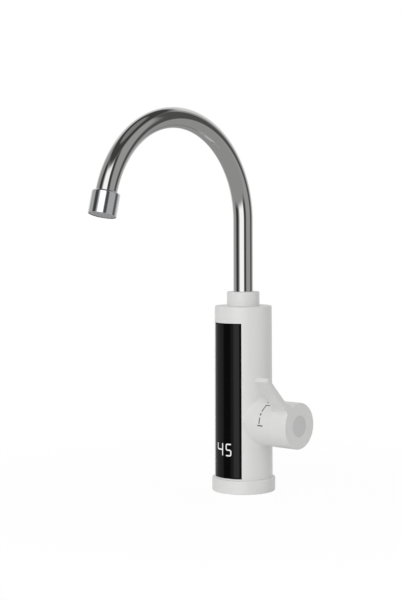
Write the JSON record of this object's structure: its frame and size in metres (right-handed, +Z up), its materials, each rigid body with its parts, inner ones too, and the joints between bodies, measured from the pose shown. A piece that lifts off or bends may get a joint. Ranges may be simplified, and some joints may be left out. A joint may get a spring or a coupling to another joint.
{
  "type": "electric instant water heater tap",
  "caption": "Single-hole kitchen tap with an electric flow heater in its upright body: swivel swan-neck spout, side knob with lever, lit display window and threaded shank.",
  "frame": {"origin": "centre of the base ring's underside, on the worktop's top face", "axes": "+Z up along the body's and the spout's swivel axis; -Y to the front, where the display faces and the spout reaches at rest; +X to the control knob"},
  "size_m": [0.1043, 0.2457, 0.4469],
  "materials": {
    "white_moulding": "gloss",
    "black_window": "high gloss",
    "polished_steel": "polished",
    "plated_aerator": "polished",
    "grey_plastic": "satin",
    "brass_parts": "machined",
    "black_rubber": "matt",
    "ceramic": "lapped",
    "steel_parts": "satin",
    "black_plastic": "matt",
    "circuit_board": "satin",
    "beige_insulator": "matt",
    "magnet": "satin",
    "white_plastic": "satin"
  },
  "bodies": {
    "housing": {"backnut": "brass_parts", "base_gasket": "black_rubber", "base_ring": "white_moulding", "base_screws": "steel_parts", "block_screws": "steel_parts", "board_screws": "steel_parts", "body_shell": "white_moulding", "cable_gland": "black_rubber", "clamp_plate": "steel_parts", "clamp_rubber": "black_rubber", "cold_pipe": "steel_parts", "digit_module": "black_plastic", "disc_seal": "black_rubber", "display_board": "circuit_board", "display_window": "black_window", "element_tabs": "steel_parts", "fixed_disc": "ceramic", "float_spring": "steel_parts", "flow_tube": "white_plastic", "gland_nut": "brass_parts", "heater_vessel": "steel_parts", "heating_element": "steel_parts", "mounting_shank": "brass_parts", "neck_collar": "white_moulding", "reed_switch": "black_plastic", "shank_ring": "black_rubber", "spout_socket": "brass_parts", "swivel_washer": "white_plastic", "temperature_probe": "steel_parts", "terminal_block": "beige_insulator", "terminal_bushes": "beige_insulator", "thermal_cutout": "black_plastic", "valve_body": "brass_parts", "valve_nut": "brass_parts", "vessel_base": "brass_parts", "vessel_screws": "steel_parts", "vessel_seal": "black_rubber"},
    "spout": {"spout_tube": "polished_steel", "spout_foot": "brass_parts", "spout_rings": "black_rubber", "aerator_housing": "plated_aerator", "aerator_washer": "black_rubber", "aerator_insert": "white_plastic", "outlet_screen": "steel_parts"},
    "knob": {"control_knob": "white_moulding", "knob_cap": "grey_plastic", "knob_screw": "steel_parts", "valve_spindle": "brass_parts", "spindle_ring": "black_rubber", "moving_disc": "ceramic"},
    "float": {"flow_float": "white_plastic", "float_magnet": "magnet"}
  },
  "joints": [
    {"name": "spout_swivel", "type": "hinge", "parent": "housing", "child": "spout", "pos_m": [0, 0, 0.1996], "axis": [0, 0, 1], "continuous": true},
    {"name": "knob_turn", "type": "hinge", "parent": "housing", "child": "knob", "pos_m": [0, 0, 0.0715], "axis": [1, 0, 0], "range_deg": [-50, 50]},
    {"name": "float_slide", "type": "slide", "parent": "housing", "child": "float", "axis": [0, 0, 1], "range_m": [0, 0.005], "stiffness_N_per_m": 20, "springref_m": -0.004, "deforming": ["float_spring"]}
  ]
}
